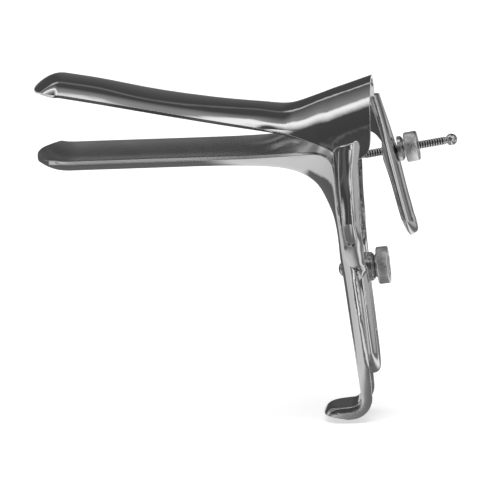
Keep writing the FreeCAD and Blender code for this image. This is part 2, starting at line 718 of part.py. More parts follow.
def rivet(side):
    body = cylinder(HINGE_PIN_R, (0, side * RECESS_FLOOR, 0), (0, side * (INNER_FACE - 0.2), 0))
    prof = [(0.0, 3.2), (0.35, 3.2), (0.75, 2.7), (0.95, 1.8), (1.0, 0.6)]
    head = turned(prof, (0, side * (INNER_FACE - 0.15), 0), (0, -side, 0))
    return body.fuse(head)


near_rivet = rivet(-1.0)
far_rivet = rivet(1.0)

# Pivot lug, pin and the adjusting rod with its ball. The lug sits in a round seat in the far arm.
LUG_R = 2.7
lug_seat = cylinder(LUG_R, (ROD_PIVOT_X, RECESS_FLOOR, ROD_PIVOT_Z), (ROD_PIVOT_X, 30, ROD_PIVOT_Z))
yoke = yoke.cut(lug_seat)
EYE_HALF = 1.5
lug = cylinder(LUG_R, (ROD_PIVOT_X, RECESS_FLOOR, ROD_PIVOT_Z), (ROD_PIVOT_X, ROD_AXIS_Y - EYE_HALF - 0.1, ROD_PIVOT_Z))
PIN_R = 1.0
lug = lug.cut(cylinder(PIN_R, (ROD_PIVOT_X, 20, ROD_PIVOT_Z), (ROD_PIVOT_X, 40, ROD_PIVOT_Z)))
pivot_pin = cylinder(PIN_R, (ROD_PIVOT_X, RECESS_FLOOR, ROD_PIVOT_Z), (ROD_PIVOT_X, ROD_AXIS_Y + EYE_HALF + 0.2, ROD_PIVOT_Z))
pin_head = turned([(0.0, 2.0), (0.7, 2.0), (1.1, 1.4), (1.25, 0.5)], (ROD_PIVOT_X, ROD_AXIS_Y + EYE_HALF + 0.12, ROD_PIVOT_Z), (0, 1, 0))
pivot_pin = pivot_pin.fuse(pin_head)

BALL_AT = 35.2
BALL_R = 2.1
THREAD_FROM = 4.2
THREAD_TO = 32.4
rod_pts = [(1.0, 0.0), (1.0, 1.15), (THREAD_FROM - 0.6, 1.15)]
s = THREAD_FROM
while s < THREAD_TO:
    rod_pts.append((s, ROD_RADIUS - THREAD_DEPTH))
    rod_pts.append((s + 0.40 * THREAD_PITCH, ROD_RADIUS))
    rod_pts.append((s + 0.60 * THREAD_PITCH, ROD_RADIUS))
    s += THREAD_PITCH
rod_pts.append((s, ROD_RADIUS - THREAD_DEPTH))
rod_pts.append((s + 0.3, 1.15))
rod_pts.append((BALL_AT - 1.5, 1.15))
rod_pts.append((BALL_AT - 1.5, 0.0))
rod = turned(rod_pts, tuple(rod_pivot), tuple(rod_dir))
eye = cylinder(2.35, (ROD_PIVOT_X, ROD_AXIS_Y - EYE_HALF, ROD_PIVOT_Z), (ROD_PIVOT_X, ROD_AXIS_Y + EYE_HALF, ROD_PIVOT_Z))
rod = rod.fuse(eye)
rod = rod.cut(cylinder(PIN_R + 0.05, (ROD_PIVOT_X, 20, ROD_PIVOT_Z), (ROD_PIVOT_X, 40, ROD_PIVOT_Z)))
ball = Part.makeSphere(BALL_R, on_rod(BALL_AT))
ball = ball.cut(rod)


def knurled_disc(r, teeth, depth, length, chamfer, origin, axis):
    # Straight knurl: a toothed outline pulled along the axis, edges turned down.
    pts = []
    for i in range(teeth):
        for k, rr in ((0.0, r - depth), (0.35, r), (0.65, r)):
            a = 2.0 * math.pi * (i + k) / teeth
            pts.append(V(0, rr * math.cos(a), rr * math.sin(a)))
    face = Part.Face(Part.makePolygon(pts + [pts[0]]))
    body = face.extrude(V(length, 0, 0))
    c = chamfer
    turn_prof = [(0.0, 0.0), (0.0, r - c), (c, r + 0.01), (length - c, r + 0.01), (length, r - c), (length, 0.0)]
    body = body.common(turned(turn_prof, (0, 0, 0), (1, 0, 0)))
    body.Placement = FreeCAD.Placement(V(*origin), FreeCAD.Rotation(V(1, 0, 0), V(*axis)))
    return body


WASHER_AT = 16.1
lw = turned([(0.0, 4.4), (1.25, 4.4), (1.95, 3.6)], tuple(on_rod(WASHER_AT)), tuple(rod_dir))
lw = lw.cut(Part.makeCylinder(ROD_RADIUS + 0.1, 6.0, on_rod(WASHER_AT - 2.0), rod_dir))
neck_at = WASHER_AT + 2.0
lever_nut = knurled_disc(5.3, 40, 0.3, 4.7, 0.6, tuple(on_rod(neck_at + 0.5)), tuple(rod_dir))
lever_nut = lever_nut.fuse(Part.makeCylinder(3.0, 0.8, on_rod(neck_at), rod_dir))
lever_nut = lever_nut.cut(Part.makeCylinder(ROD_RADIUS + 0.06, 12.0, on_rod(neck_at - 2.0), rod_dir))

# Lock stud with its washer and knurled nut.
stud = Part.makeCylinder(STUD_R, 9.2 + 7.6, on_stud(-9.2), stud_axis)
stud_head = turned([(0.0, 2.4), (0.5, 2.4), (1.0, 1.9), (1.4, 1.0), (1.5, 0.3)], tuple(on_stud(-9.15)),
                   (-stud_axis.x, 0, -stud_axis.z))
stud = stud.fuse(stud_head)
lock_washer = turned([(0.05, 5.1), (1.4, 5.1), (2.1, 4.5), (2.5, 3.6)], tuple(stud_face), tuple(stud_axis))
lock_washer = lock_washer.cut(Part.makeCylinder(STUD_R + 0.08, 8.0, on_stud(-2.0), stud_axis))
lock_nut = knurled_disc(6.6, 48, 0.3, 4.3, 0.7, tuple(on_stud(3.1)), tuple(stud_axis))
lock_nut = lock_nut.fuse(Part.makeCylinder(4.1, 0.8, on_stud(2.55), stud_axis))
lock_nut = lock_nut.cut(Part.makeCylinder(STUD_R + 0.06, 12.0, on_stud(0.0), stud_axis))

nodes = {
    "lower_blade": lower_blade,
    "yoke": yoke,
    "upper_blade": upper_blade,
    "thumb_lever": lever,
    "near_hinge_rivet": near_rivet,
    "far_hinge_rivet": far_rivet,
    "rod_pivot_lug": lug,
    "rod_pivot_pin": pivot_pin,
    "adjusting_rod": rod,
    "rod_ball": ball,
    "lever_nut_washer": lw,
    "lever_nut": lever_nut,
    "lock_stud": stud,
    "lock_washer": lock_washer,
    "lock_nut": lock_nut,
}
for name in nodes:
    shape = nodes[name]
    if len(shape.Solids) == 1:
        shape = shape.Solids[0]
    print(name, shape.isValid(), len(shape.Solids), round(shape.Volume, 1))
    shape.exportStep("parts/" + name + ".step")
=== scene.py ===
import json
import math

import bpy
import numpy as np
from mathutils import Matrix, Vector


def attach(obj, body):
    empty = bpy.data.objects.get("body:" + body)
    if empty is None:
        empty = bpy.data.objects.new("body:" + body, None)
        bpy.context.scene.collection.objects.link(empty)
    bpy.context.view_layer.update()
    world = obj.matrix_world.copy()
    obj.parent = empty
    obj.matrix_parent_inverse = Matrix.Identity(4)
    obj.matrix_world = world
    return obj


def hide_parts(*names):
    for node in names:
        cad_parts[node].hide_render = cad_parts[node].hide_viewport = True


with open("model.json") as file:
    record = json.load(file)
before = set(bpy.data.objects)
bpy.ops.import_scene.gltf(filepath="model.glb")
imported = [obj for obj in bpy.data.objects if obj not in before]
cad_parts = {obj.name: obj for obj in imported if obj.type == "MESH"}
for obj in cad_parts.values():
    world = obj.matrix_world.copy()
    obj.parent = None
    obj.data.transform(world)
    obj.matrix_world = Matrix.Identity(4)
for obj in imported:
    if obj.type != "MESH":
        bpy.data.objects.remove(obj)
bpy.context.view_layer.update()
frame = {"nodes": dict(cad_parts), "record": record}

scene = bpy.context.scene
nodes = frame["nodes"]

# Every length is in metres, in the frame, whose origin is on the blade hinge.
UP = (0.0, 0.0, 1.0)
ACROSS = (0.0, 1.0, 0.0)

# The photograph's view: degrees round from the front, down on the object, and of roll.
VIEW_TURN = 3.5
VIEW_DROP = 13.0
VIEW_ROLL = 2.7
VIEW_DISTANCE = 4.0
PICTURE_WIDTH = 0.17395
PICTURE_BEHIND_EAR = 0.015
NEAR_EAR = (0.0, -0.020, 0.0)
EAR_IN_PICTURE = (0.03415, 0.03169)
SENSOR = 36.0

# Places on the object that its looks depend on.
BLADE_HALF = 0.01695
BLADE_TO_HOOD = (-0.034, -0.012)
BLADE_RIM_END = -0.029
EAR_TOP_FROM = -0.012
HINGE_PIN_CLEAR = 0.0032
ROD_PIVOT = (0.001, 0.02605, -0.0103)
ROD_TILT = math.radians(8.1)
ROD_WAY = (math.cos(ROD_TILT), 0.0, math.sin(ROD_TILT))
THREAD_START = 0.0042
THREAD_PITCH = 0.0009
THREAD_LENGTH = 0.0283
THREAD_ENDS = 0.0003
STUD_FACE = (0.0058, 0.0, -0.0445)
HANDLE_TILT = math.radians(5.9)
HANDLE_BACK = (math.cos(HANDLE_TILT), 0.0, math.sin(HANDLE_TILT))
HANDLE_MIDDLE = -0.0032 * HANDLE_BACK[0] - 0.045 * HANDLE_BACK[2] + 0.0025
HANDLE_BOTTOM = (-0.084, -0.074)
HANDLE_TOP = (-0.045, -0.030)
FOOT_TO_HANDLE = (-0.0935, -0.0780)
STEM_TILT = math.radians(4.4)
STEM_BACK = (math.cos(STEM_TILT), 0.0, math.sin(STEM_TILT))
STEM_MIDDLE = STUD_FACE[0] * STEM_BACK[0] + STUD_FACE[2] * STEM_BACK[2] - 0.0022
LEVER_HEIGHTS = (-0.034, -0.004)
LEVER_MIDDLES = (0.0200, 0.0134)

# Relief in the sheet. Slopes are plain, leans are in radians, and a crown is half the inverse of its radius.
EDGE_FROM = 0.72
EDGE_TO = 1.03
EDGE_BLEND = 0.15
EDGE_SLOPE = 0.5
EDGE_LEAN = 0.60
EAR_TOP_LEAN = 0.62
CROWN = 60.0
LEVER_CROWN = 90.0
FOOT_ROLL = 0.9
FOOT_ROLL_FROM = 0.0081
FOOT_ROLL_BLEND = 0.001
EAR_RIPPLE = 0.0012
EAR_RIPPLE_SCALE = 150.0
EAR_RIPPLE_STRETCH = (1.0, 1.0, 0.25)

# Steel: how much its tone and its polish vary, where it is duller, and the thread's painted light and dark:
# painted shade in its grooves, painted highlights on its crests.
UNEVEN_SCALE = 90.0
TONE_SPREAD = (0.96, 1.03)
ROUGH_SPREAD = (0.8, 1.25)
DULL_FACING_UP = (0.15, 0.6)
DULL_ABOVE = (-0.06, -0.03)
# Painted grey levels through one turn of the thread: painted shade in the grooves, painted highlights on the
# crests.
THREAD_PAINTED_LIGHT = [(0.0, 0.16), (0.20, 0.22), (0.36, 1.1), (0.62, 1.1), (0.78, 0.3), (1.0, 0.16)]
SHANK_SHADE = 0.8
ALL_ALIKE = (1.0, 1.0, 1.0)
DRAWN_DOWN = (1.0, 1.0, 0.18)


def graph(tree):
    # Clears a tree and gives the call that adds a node, with its choices set and its sockets filled or linked.
    tree.nodes.clear()

    def add(kind, choices=None, **sockets):
        node = tree.nodes.new(kind)
        for name, value in (choices or {}).items():
            setattr(node, name, value)
        for name, value in sockets.items():
            numbered = name[0] == "i" and name[1:].isdigit()
            socket = node.inputs[int(name[1:]) if numbered else name]
            if isinstance(value, bpy.types.NodeSocket):
                tree.links.new(value, socket)
            else:
                socket.default_value = value
        return node

    return add


def maths(add, operation, a, b=0.0, c=0.0):
    return add("ShaderNodeMath", {"operation": operation}, i0=a, i1=b, i2=c).outputs[0]


def product(add, *values):
    total = values[0]
    for value in values[1:]:
        total = maths(add, "MULTIPLY", total, value)
    return total


def one_less(add, value):
    return maths(add, "SUBTRACT", 1.0, value)


def fade(add, value, low, high):
    # Goes smoothly from 0 at low to 1 at high.
    smoothly = {"interpolation_type": "SMOOTHSTEP"}
    return add("ShaderNodeMapRange", smoothly, i0=value, i1=low, i2=high, i3=0.0, i4=1.0).outputs[0]


def parts_of(add, vector):
    return add("ShaderNodeSeparateXYZ", Vector=vector).outputs


def length_along(add, place, direction, start=0.0):
    # Distance of a point along a direction, from where it starts.
    spot = add("ShaderNodeVectorMath", {"operation": "DOT_PRODUCT"}, i0=place, i1=direction)
    return maths(add, "SUBTRACT", spot.outputs["Value"], start)


def noise(add, place, scale, detail):
    return add("ShaderNodeTexNoise", Vector=place, Scale=scale, Detail=detail).outputs[0]


def greys(add, value, low, high, stops):
    # Grey levels between stops. The stops are values from low to high.
    share = maths(add, "MULTIPLY_ADD", value, 1.0 / (high - low), -low / (high - low))
    node = add("ShaderNodeValToRGB", Fac=share)
    elements = node.color_ramp.elements
    while len(elements) < len(stops):
        elements.new(0.5)
    for element, (at, grey) in zip(elements, stops):
        element.position = (at - low) / (high - low)
        element.color = (grey, grey, grey, 1.0)
    return node.outputs[0]


def either_way(add, use_second, first, second):
    # One of two directions.
    node = add("ShaderNodeMix", {"data_type": "VECTOR"}, i0=use_second, i4=first, i5=second)
    return node.outputs[1]


def blended(add, share, colour, grey):
    # A colour with a share of it made grey, where grey is a level or a colour.
    if not isinstance(grey, bpy.types.NodeSocket):
        grey = (grey, grey, grey, 1.0)
    return add("ShaderNodeMix", {"data_type": "RGBA"}, i0=share, i6=colour, i7=grey).outputs[2]


def by_camera(add, others, camera):
    # What the camera sees, and what everything else does.
    to_camera = add("ShaderNodeLightPath").outputs["Is Camera Ray"]
    return add("ShaderNodeMixShader", i0=to_camera, i1=others.outputs[0], i2=camera.outputs[0]).outputs[0]


def crown(add, depth, amount):
    # Height of a flat side that is rounded off across its depth.
    return product(add, depth, depth, -amount)


def rolled_edges(add, place, facing):
    # The upper blade's long edges roll down over more than its sheet does.
    x, y, z = parts_of(add, place)
    share = maths(add, "DIVIDE", maths(add, "ABSOLUTE", y), BLADE_HALF)
    share = maths(add, "MINIMUM", share, EDGE_TO)
    past = maths(add, "SMOOTH_MAX", maths(add, "SUBTRACT", share, EDGE_FROM), 0.0, EDGE_BLEND)
    on_blade = one_less(add, fade(add, x, *BLADE_TO_HOOD))
    upper_side = maths(add, "SIGN", maths(add, "ADD", length_along(add, facing, UP), 0.3))
    return product(add, past, -EDGE_SLOPE * BLADE_HALF, on_blade, upper_side)


def crowned_handle(add, place, facing):
    # The handle's flanges are crowned between chute and foot, and the foot has a rolled rim.
    height = length_along(add, place, UP)
    on_handle = maths(add, "SUBTRACT", fade(add, height, *HANDLE_BOTTOM), fade(add, height, *HANDLE_TOP))
    flange = crown(add, length_along(add, place, HANDLE_BACK, HANDLE_MIDDLE), CROWN)
    out = maths(add, "ABSOLUTE", length_along(add, place, ACROSS))
    past = maths(add, "SMOOTH_MAX", maths(add, "SUBTRACT", out, FOOT_ROLL_FROM), 0.0, FOOT_ROLL_BLEND)
    on_foot = one_less(add, fade(add, height, *FOOT_TO_HANDLE))
    return maths(add, "ADD", product(add, flange, on_handle), product(add, past, -FOOT_ROLL, on_foot))


def crowned_yoke(add, place, facing):
    # The stem is crowned, and the pressed ears above it have a faint drawn ripple.
    on_stem = one_less(add, fade(add, length_along(add, place, UP), *HANDLE_TOP))
    flange = crown(add, length_along(add, place, STEM_BACK, STEM_MIDDLE), CROWN)
    drawn = add("ShaderNodeMapping", Vector=place, Scale=EAR_RIPPLE_STRETCH).outputs[0]
    ripple = noise(add, drawn, EAR_RIPPLE_SCALE, 0.5)
    on_ears = one_less(add, on_stem)
    return maths(add, "ADD", product(add, flange, on_stem), product(add, ripple, EAR_RIPPLE, on_ears))


def crowned_lever(add, place, facing):
    # The thumb lever's flanges are crowned about a middle that follows its bend.
    x, y, z = parts_of(add, place)
    (low, high), (from_x, to_x) = LEVER_HEIGHTS, LEVER_MIDDLES
    middle = add("ShaderNodeMapRange", i0=z, i1=low, i2=high, i3=from_x, i4=to_x).outputs[0]
    return crown(add, maths(add, "SUBTRACT", x, middle), LEVER_CROWN)


def leaning(add, y, angle):
    # Direction away from the middle plane that leans up by an angle.
    sideways = product(add, maths(add, "SIGN", y), math.cos(angle))
    return add("ShaderNodeCombineXYZ", Y=sideways, Z=math.sin(angle)).outputs[0]


def blade_rims(add, place, facing):
    # The upper blade's long edge faces lean up as far as the rolled top beside them.
    x, y, z = parts_of(add, place)
    level = maths(add, "LESS_THAN", maths(add, "ABSOLUTE", length_along(add, facing, UP)), 0.55)
    on_blade = maths(add, "LESS_THAN", x, BLADE_RIM_END)
    return product(add, level, on_blade), leaning(add, y, EDGE_LEAN)


def ear_tops(add, place, facing):
    # The top edges of the ears are rounded over outwards.
    x, y, z = parts_of(add, place)
    faces_up = maths(add, "GREATER_THAN", length_along(add, facing, UP), 0.5)
    on_ears = maths(add, "GREATER_THAN", z, EAR_TOP_FROM)
    return product(add, faces_up, on_ears), leaning(add, y, EAR_TOP_LEAN)


def painted_thread_light(add, place):
    # Painted shade in the grooves and painted highlights on the crests of the thread, scaled into the colour; the
    # shank beyond is a plain grey level.
    start = sum(a * b for a, b in zip(ROD_WAY, ROD_PIVOT)) + THREAD_START
    run = length_along(add, place, ROD_WAY, start)
    turns = maths(add, "FRACT", maths(add, "DIVIDE", run, THREAD_PITCH))
    painted_groove_and_crest = greys(add, turns, 0.0, 1.0, THREAD_PAINTED_LIGHT)
    begun = fade(add, run, -THREAD_ENDS, 0.0)
    going_on = one_less(add, fade(add, run, THREAD_LENGTH, THREAD_LENGTH + THREAD_ENDS))
    on_thread = product(add, begun, going_on)
    shank = product(add, one_less(add, on_thread), SHANK_SHADE)
    return maths(add, "ADD", product(add, painted_groove_and_crest, on_thread), shank)


def steel(name, tone, rough, wave, wave_scale, edge, stretch=ALL_ALIKE, relief=None, lean=None,
          dull_top=0.0, flat_by_hinge=False, shade=None):
    # Stainless steel: slightly uneven tone and polish, a faint wave in the sheet (in millimetres), soft edges.
    mat = bpy.data.materials.new(name)
    mat.use_nodes = True
    add = graph(mat.node_tree)
    place = add("ShaderNodeTexCoord").outputs["Object"]
    facing = add("ShaderNodeNewGeometry").outputs["Normal"]
    scaled = add("ShaderNodeMapping", Vector=place, Scale=stretch).outputs[0]
    cloud = noise(add, scaled, UNEVEN_SCALE, 3.0)
    swell = noise(add, scaled, wave_scale, 1.0)
    darker, lighter = TONE_SPREAD
    colour = greys(add, cloud, 0.0, 1.0, [(0.25, tone * darker), (0.75, tone * lighter)])
    # Some pieces have painted light and shade scaled into their colour, such as the thread's.
    if shade:
        scaling = {"operation": "SCALE"}
        colour = add("ShaderNodeVectorMath", scaling, i0=colour, i3=shade(add, place)).outputs[0]
    brighter, duller = ROUGH_SPREAD
    polish = greys(add, cloud, 0.0, 1.0, [(0.3, rough * brighter), (0.7, rough * duller)])
    if dull_top:
        faces_up = fade(add, length_along(add, facing, UP), *DULL_FACING_UP)
        above_handle = fade(add, length_along(add, place, UP), *DULL_ABOVE)
        polish = maths(add, "ADD", polish, product(add, faces_up, above_handle, dull_top))
    normal = add("ShaderNodeBevel", {"samples": 6}, Radius=edge).outputs[0]
    if flat_by_hinge:
        x, y, z = parts_of(add, place)
        away = maths(add, "SQRT", maths(add, "ADD", product(add, x, x), product(add, z, z)))
        normal = either_way(add, maths(add, "GREATER_THAN", away, HINGE_PIN_CLEAR), facing, normal)
    if lean:
        here, way = lean(add, place, facing)
        normal = either_way(add, here, normal, way)
    height = product(add, swell, wave * 0.001)
    if relief:
        height = maths(add, "ADD", height, relief(add, place, facing))
    bump = add("ShaderNodeBump", Strength=1.0, Distance=1.0, Height=height, Normal=normal).outputs[0]
    base = {"Base Color": colour}
    skin = add("ShaderNodeBsdfPrincipled", Metallic=1.0, Roughness=polish, Normal=bump, **base)
    add("ShaderNodeOutputMaterial", Surface=skin.outputs[0])
    return mat


BRIGHT = {"tone": 0.74, "rough": 0.05}
LONG_WAVES = {"wave": 0.04, "wave_scale": 60.0, "edge": 0.00035}
SHORT_WAVES = {"wave": 0.10, "wave_scale": 150.0, "edge": 0.00035}
knurled = steel("knurled_steel", tone=0.84, rough=0.26, wave=0.04, wave_scale=200.0, edge=0.00012)
FINISH = {
    "polished_steel": steel("polished_steel", wave=0.05, wave_scale=60.0, edge=0.00035, **BRIGHT),
    "satin_steel": steel("satin_steel", tone=0.66, rough=0.16, wave=0.05, wave_scale=120.0, edge=0.0002),
    "knurled_steel": knurled,
    # The thread's colour carries painted shade in its grooves and painted highlights on its crests.
    "threaded_steel": steel(
        "threaded_steel", tone=0.8, rough=0.2, wave=0.04, wave_scale=200.0, edge=0.00002, shade=painted_thread_light),
}
flush = steel(
    "flush_steel", wave=0.10, wave_scale=150.0, edge=0.00001, stretch=DRAWN_DOWN, relief=crowned_yoke, **BRIGHT)
OWN_FINISH = {
    "upper_blade": steel("blade_steel", relief=rolled_edges, lean=blade_rims, **BRIGHT, **LONG_WAVES),
    "lower_blade": steel("trough_steel", relief=crowned_handle, dull_top=0.2, **BRIGHT, **LONG_WAVES),
    "yoke": steel(
        "yoke_steel", stretch=DRAWN_DOWN, relief=crowned_yoke, lean=ear_tops, flat_by_hinge=True,
        **BRIGHT, **SHORT_WAVES),
    "thumb_lever": steel("lever_steel", relief=crowned_lever, **BRIGHT, **SHORT_WAVES),
    "near_hinge_rivet": flush,
    "far_hinge_rivet": flush,
}
for part in frame["record"]["subparts"]:
    mesh = nodes[part["node"]].data
    mesh.materials.clear()
    mesh.materials.append(OWN_FINISH.get(part["node"], FINISH[part["material_slot"]]))


def stand_for(obj, node, body):
    # Shows an object in place of a node, moving with its body.
    scene.collection.objects.link(obj)
    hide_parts(node)
    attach(obj, body)


def smooth(value, low, high):
    t = np.clip((value - low) / (high - low), 0.0, 1.0)
    return t * t * (3.0 - 2.0 * t)


def warped(node, body, field):
    # Copy of a node's mesh with its points moved by a smooth field, and its normals turned to match.
    mesh = nodes[node].data.copy()
    points = np.empty(len(mesh.vertices) * 3)
    mesh.vertices.foreach_get("co", points)
    points = points.reshape(-1, 3)
    normals = np.empty(len(mesh.loops) * 3)
    mesh.corner_normals.foreach_get("vector", normals)
    normals = normals.reshape(-1, 3)
    owner = np.empty(len(mesh.loops), dtype=np.int32)
    mesh.loops.foreach_get("vertex_index", owner)
    step = 2e-5
    columns = []
    for axis in range(3):
        shift = np.zeros(3)
        shift[axis] = step
        columns.append((field(points + shift) - field(points - shift)) / (2.0 * step))
    turned_by = np.linalg.inv(np.stack(columns, axis=2)).transpose(0, 2, 1)
    normals = np.einsum("nij,nj->ni", turned_by[owner], normals)
    normals /= np.linalg.norm(normals, axis=1, keepdims=True)
    mesh.vertices.foreach_set("co", field(points).ravel())
    mesh.update()
    mesh.normals_split_custom_set(normals.tolist())
    stand_for(bpy.data.objects.new(node + "_skin", mesh), node, body)


# Thumb lever: where its rear face is, at some depths below the hinge.
LEVER_DEPTHS = [0.0043, 0.011, 0.020, 0.0285, 0.0335]
LEVER_REAR = [0.0155, 0.0171, 0.0189, 0.0206, 0.0216]
LEVER_DEEPER = 0.7
LEVER_DEEPER_BY = 0.012
LEVER_SHORTER = 0.0014
LEVER_END = (0.018, 0.036)


def deeper_lever(p):
    # The flanges of the thumb lever reach further forward below the rod, and it ends a little sooner.
    out = p.copy()
    depth = -p[:, 2]
    flange = np.interp(depth, LEVER_DEPTHS, LEVER_REAR) - p[:, 0]
    out[:, 0] -= LEVER_DEEPER * smooth(depth, 0.0, LEVER_DEEPER_BY) * flange
    out[:, 2] += LEVER_SHORTER * smooth(depth, *LEVER_END)
    return out


# Upper blade near its tip: its arched section, the line of its top, and where that line curls down.
SECTION_HALF = 0.0168
SECTION_TURN = 0.6
SECTION_FALL = 0.00385
TOP_AT = (-0.097, 0.02815)
TOP_SLOPE = 0.2032
CURL_FROM = -0.0983
CURL_LENGTH = 0.011
CURL_FALL = 0.0065
THIN_ALONG = (0.098, 0.109)
THINNED = 0.7


def thinner_tip(p):
    # The sheet of the upper blade gets thin at its tip.
    out = p.copy()
    share = np.clip(np.abs(p[:, 1]) / SECTION_HALF, 0.0, 1.0)
    turned_in = np.arcsin(share * math.sin(SECTION_TURN))
    fall = SECTION_FALL * (1.0 - np.cos(turned_in)) / (1.0 - math.cos(SECTION_TURN))
    curl = CURL_FALL * np.clip((CURL_FROM - p[:, 0]) / CURL_LENGTH, 0.0, None) ** 2
    outer = TOP_AT[1] + (TOP_AT[0] - p[:, 0]) * TOP_SLOPE - fall - curl
    keep = 1.0 - THINNED * smooth(-p[:, 0], *THIN_ALONG)
    out[:, 2] = outer + (p[:, 2] - outer) * keep
    return out


# Foot: the centre of its half-round end, the way it points, and how square the end is.
FOOT_CENTRE = (-0.0023, 0.0, -0.09336)
FOOT_WAY = (-0.9966, 0.0, -0.0819)
FOOT_TOP = -0.088
FOOT_SQUARE = 3.4


def squarer_foot(p):
    # The end of the foot is squarer than a half round.
    out = p.copy()
    reach = (p[:, 0] - FOOT_CENTRE[0]) * FOOT_WAY[0] + (p[:, 2] - FOOT_CENTRE[2]) * FOOT_WAY[2]
    side = p[:, 1]
    size = np.hypot(reach, side) + 1e-9
    total = np.abs(reach / size) ** FOOT_SQUARE + np.abs(side / size) ** FOOT_SQUARE
    grow = np.where((reach > 0) & (p[:, 2] < FOOT_TOP), total ** (-1.0 / FOOT_SQUARE), 1.0)
    out[:, 0] += FOOT_WAY[0] * reach * (grow - 1.0)
    out[:, 2] += FOOT_WAY[2] * reach * (grow - 1.0)
    out[:, 1] = side * grow
    return out


warped("thumb_lever", "blade", deeper_lever)
warped("upper_blade", "blade", thinner_tip)
warped("lower_blade", "handle", squarer_foot)

# Nuts: depth of the knurl's grooves, roundness of the rim, and the dished outer end.
KNURL = 0.00007
NUT_EDGE = 0.0006
NUT_DISH = 0.0004
NUT_DISH_FROM = 0.62
NUT_DISH_TO = 0.58
EDGE_STEPS = 5
TOOTH = [KNURL, 0.4 * KNURL, 0.0, 0.4 * KNURL]


def nut_outline(face, length, radius, neck, neck_radius, bore):
    # Section of a nut as places along its axis and radii: neck, rounded rim, dished end and bore.
    edge = NUT_EDGE
    end = face + length
    outline = [(neck, bore), (neck, neck_radius), (face, neck_radius), (face, radius - 2 * edge)]
    for k in range(1, EDGE_STEPS + 1):
        a = 0.5 * math.pi * k / EDGE_STEPS
        outline.append((face + edge * (1 - math.cos(a)), radius - 2 * edge + edge * (1 + math.sin(a))))
    for k in range(EDGE_STEPS + 1):
        a = 0.5 * math.pi * k / EDGE_STEPS
        outline.append((end - edge * (1 - math.sin(a)), radius - edge + edge * math.cos(a)))
    dish = end - NUT_DISH
    return outline + [(end, radius * NUT_DISH_FROM), (dish, radius * NUT_DISH_TO), (dish, bore)]


def knurled_nut(node, body, origin, axis, outline, teeth):
    # Nut turned about its axis from its section, with a fine straight knurl on its rim.
    around = teeth * len(TOOTH)
    rim = max(r for along, r in outline) - 0.4 * NUT_EDGE
    verts = []
    for along, r in outline:
        for j in range(around):
            a = 2.0 * math.pi * j / around
            cut = r - (TOOTH[j % len(TOOTH)] if r > rim else 0.0)
            verts.append((along, cut * math.cos(a), cut * math.sin(a)))
    rows = len(outline)
    faces = []
    for i in range(rows):
        here = i * around
        beyond = (i + 1) % rows * around
        for j in range(around):
            k = (j + 1) % around
            faces.append((here + j, here + k, beyond + k, beyond + j))
    mesh = bpy.data.meshes.new(node)
    mesh.from_pydata(verts, [], faces)
    turn_to = Vector((1, 0, 0)).rotation_difference(Vector(axis)).to_matrix().to_4x4()
    mesh.transform(Matrix.Translation(Vector(origin)) @ turn_to)
    mesh.materials.append(knurled)
    mesh.shade_smooth()
    mesh.set_sharp_from_angle(angle=math.radians(35))
    stand_for(bpy.data.objects.new(node + "_turned", mesh), node, body)


knurled_nut(
    "lever_nut", "rod_nut", ROD_PIVOT, ROD_WAY, teeth=72,
    outline=nut_outline(face=0.0186, length=0.0047, radius=0.0053, neck=0.0181, neck_radius=0.0030, bore=0.00156))
knurled_nut(
    "lock_nut", "stem_nut", STUD_FACE, STEM_BACK, teeth=88,
    outline=nut_outline(face=0.0031, length=0.0043, radius=0.0066, neck=0.00255, neck_radius=0.0041, bore=0.00196))

# Floor: pale and plain to the camera, just under the foot. To all other rays it glows in painted bands of light
# across x, with painted shade under the blades, and the steel mirrors these.
FLOOR_Z = -0.0990
FLOOR_X = (-0.84, 0.76)
FLOOR_Y = (-0.20, 1.10)
FLOOR_PAINT = [(0.3, 0.90), (0.7, 0.92)]
FLOOR_GLOW = 0.55
# Painted bands of glow across x, which the steel mirrors.
FLOOR_PAINTED_BANDS = [
    (-0.25, 0.60), (-0.10, 0.66), (-0.03, 0.75), (-0.015, 0.60), (-0.005, 0.28), (0.005, 0.16), (0.02, 0.20),
    (0.035, 0.95), (0.05, 0.95), (0.07, 0.22), (0.12, 0.16), (0.175, 0.45), (0.25, 0.50)]
# Painted shade in the floor's glow under the blades.
UNDER_BLADES_Y = (0.02, 0.05)
UNDER_BLADES_X = (-0.060, -0.048)
UNDER_BLADES_PAINTED_SHADE = 0.8

floor_mat = bpy.data.materials.new("pale_floor")
floor_mat.use_nodes = True
add = graph(floor_mat.node_tree)
spot = add("ShaderNodeTexCoord").outputs["Object"]
paint = greys(add, noise(add, spot, 8.0, 2.0), 0.0, 1.0, FLOOR_PAINT)
matte = add("ShaderNodeBsdfDiffuse", Color=paint)
glow = add("ShaderNodeEmission", Color=paint, Strength=FLOOR_GLOW)
lit = add("ShaderNodeAddShader", i0=matte.outputs[0], i1=glow.outputs[0])
x, y, z = parts_of(add, spot)
# Painted shade under the blades, and the painted glow seen by all rays except the camera's.
painted_shade_under_blades = product(add, fade(add, y, *UNDER_BLADES_Y), one_less(add, fade(add, x, *UNDER_BLADES_X)))
strength = one_less(add, product(add, painted_shade_under_blades, UNDER_BLADES_PAINTED_SHADE))
painted_floor_glow = add("ShaderNodeEmission", Color=greys(add, x, -0.25, 0.25, FLOOR_PAINTED_BANDS), Strength=strength)
add("ShaderNodeOutputMaterial", Surface=by_camera(add, painted_floor_glow, lit))

(left, right), (near, far) = FLOOR_X, FLOOR_Y
corners = [(left, near, FLOOR_Z), (right, near, FLOOR_Z), (right, far, FLOOR_Z), (left, far, FLOOR_Z)]
floor_mesh = bpy.data.meshes.new("floor")
floor_mesh.from_pydata(corners, [], [(0, 1, 2, 3)])
floor_mesh.materials.append(floor_mat)
card = bpy.data.objects.new("floor", floor_mesh)
scene.collection.objects.link(card)

